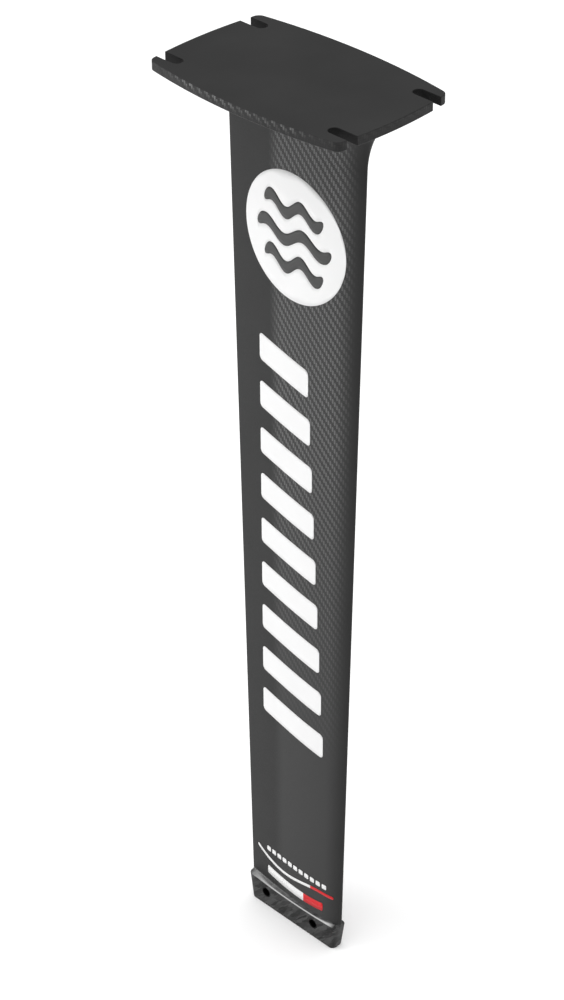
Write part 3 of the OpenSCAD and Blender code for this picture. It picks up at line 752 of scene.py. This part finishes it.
def trim_dip(x):
    """Height of the thin stripes' line, lowest at trim_low_x: towards the tail it rises with the square of
    the distance, 11.5 mm over 38 mm, and towards the nose by the step t t (3 - 2 t), 6.5 mm over 45 mm."""
    far = x - trim_low_x
    t = np.clip(far / (45 * MM), 0, 1)
    rise = np.where(far < 0, 11.5 * MM * (far / (38 * MM)) ** 2, 6.5 * MM * t * t * (3 - 2 * t))
    return rise - trim_deep


def low_dip(x):
    """Height of the lower stripes' line: it rises with the square of the distance from its lowest point,
    2.7 mm over 36 mm."""
    return 2.7 * MM * ((x - low_low_x) / (36 * MM)) ** 2 - low_deep


def stripe_art(start, stop, z, height, dip, open_end):
    """A stripe along the line z + dip(x), rounded at both ends but for the one where its colour turns."""
    radius = min(height / 2, 1.5 * MM)
    x = spread_out(start, stop, radius, 24)
    past_tail, past_nose = (radius if open_end == end else 0 for end in ("tail", "nose"))
    pull = soften(x, start - past_tail, stop + past_nose, radius)
    return [band(x, z + dip(x) - height / 2 + pull, z + dip(x) + height / 2 - pull, 3)]


dash_tail, dash_pitch, dash_l, dash_r = -35 * MM, 7.2 * MM, 5 * MM, 1 * MM
dash_low, dash_high = -782.5 * MM, -777.5 * MM


def dashes_art():
    """A row of eleven small marks with round corners."""
    made = []
    for i in range(11):
        start = dash_tail + dash_pitch * i
        x = spread_out(start, start + dash_l, dash_r, 5)
        pull = soften(x, start, start + dash_l, dash_r)
        made.append(band(x, dash_low + pull, dash_high - pull, 4))
    return made


art = {
    "badge_disc": (badge_art(), "film_white"),
    "badge_waves": (waves_art(), "film_dark"),
    "slant_bars": (bars_art(), "film_white"),
    "dash_row": (dashes_art(), "film_white"),
    "trim_white": (stripe_art(trim_tail, trim_joint, trim_z, trim_h, trim_dip, "nose"), "film_white"),
    "trim_red": (stripe_art(trim_joint, trim_nose, trim_z, trim_h, trim_dip, "tail"), "film_red"),
    "low_white": (stripe_art(low_tail, low_joint, low_z, low_h, low_dip, "nose"), "film_white"),
    "low_red": (stripe_art(low_joint, low_nose, low_z, low_h, low_dip, "tail"), "film_red"),
}

# Printed vinyl: an even, slightly glossy ink with the faint orange peel of the film under it.
inks = {}
for name, dark, light in (("film_white", "#e4e4e4", "#eaeaea"), ("film_dark", "#323232", "#3a3a3a"),
                          ("film_red", "#c8161e", "#d21c24")):
    ink, tree, shader = new_finish("printed vinyl, " + name[5:], Roughness=0.42, Specular_IOR_Level=0.3)
    where = add(tree, "TexCoord").outputs["Object"]
    peel = add(tree, "TexNoise", {"Vector": where, "Scale": 1 / (1.5 * MM), "Detail": 2.0})
    patch = add(tree, "TexNoise", {"Vector": where, "Scale": 1 / (25 * MM), "Detail": 3.0})
    tint = add(tree, "Mix", {0: patch, 6: linear(dark), 7: linear(light)}, data_type="RGBA")
    tree.links.new(tint.outputs[2], shader.inputs["Base Color"])
    bump = add(tree, "Bump", {"Strength": 0.08, "Distance": 0.05 * MM, "Height": peel})
    tree.links.new(bump.outputs[0], shader.inputs["Normal"])
    inks[name] = ink

for side, sign in (("starboard", -1), ("port", 1)):
    for name, (bands, ink) in art.items():
        points, faces, count = [], [], 0
        for x, z in bands:
            points.append(np.stack([x, sign * skin_y(x, z), z], -1).reshape(-1, 3))
            faces += [[k + count for k in face] for face in grid_faces(*x.shape)]
            count += x.size
        piece = make_piece(side + "_print_" + name, np.concatenate(points), faces, inks[ink],
                           [side + "_" + name], outward=(0, sign, 0))
        film = piece.modifiers.new("film", "SOLIDIFY")
        film.thickness = film_t
        film.offset = 1.0


# ---- Floor and lights ----
# A white studio sweep, one wide soft lamp above and one tall soft lamp to the left of the nose.
floor_mesh = bpy.data.meshes.new("floor")
reach = 12.0
corners = [(-reach, -reach), (reach, -reach), (reach, reach), (-reach, reach)]
floor_mesh.from_pydata([(x, y, foot_low.z) for x, y in corners], [], [(0, 1, 2, 3)])
paper, tree, shader = new_finish("white paper sweep", Roughness=0.9, Specular_IOR_Level=0.1)
shader.inputs["Base Color"].default_value = linear("#fafafa")
floor_mesh.materials.append(paper)
floor = bpy.data.objects.new("floor", floor_mesh)
bpy.context.scene.collection.objects.link(floor)

sky = bpy.data.worlds.new("studio")
sky.use_nodes = True
sky.node_tree.nodes["Background"].inputs["Color"].default_value = linear("#ffffff")
sky.node_tree.nodes["Background"].inputs["Strength"].default_value = 0.26
bpy.context.scene.world = sky


def lamp(name, kind, at, target, power, **settings):
    """A soft lamp at a point, turned to a target, and not seen itself."""
    data = bpy.data.lights.new(name, kind)
    data.energy = power
    for key, value in settings.items():
        setattr(data, key, value)
    made = bpy.data.objects.new(name, data)
    aim = Vector(target) - Vector(at)
    made.matrix_world = Matrix.Translation(at) @ aim.to_track_quat("-Z", "Y").to_matrix().to_4x4()
    made.visible_camera = False
    bpy.context.scene.collection.objects.link(made)


lamp("overhead", "SUN", (0, 0, 3), (0, 0, 0), 3.0, angle=np.radians(100))
lamp("side", "AREA", (-1.9, -1.9, 0.35), (0, 0, -0.5), 30.0, shape="RECTANGLE", size=1.4, size_y=2.2)
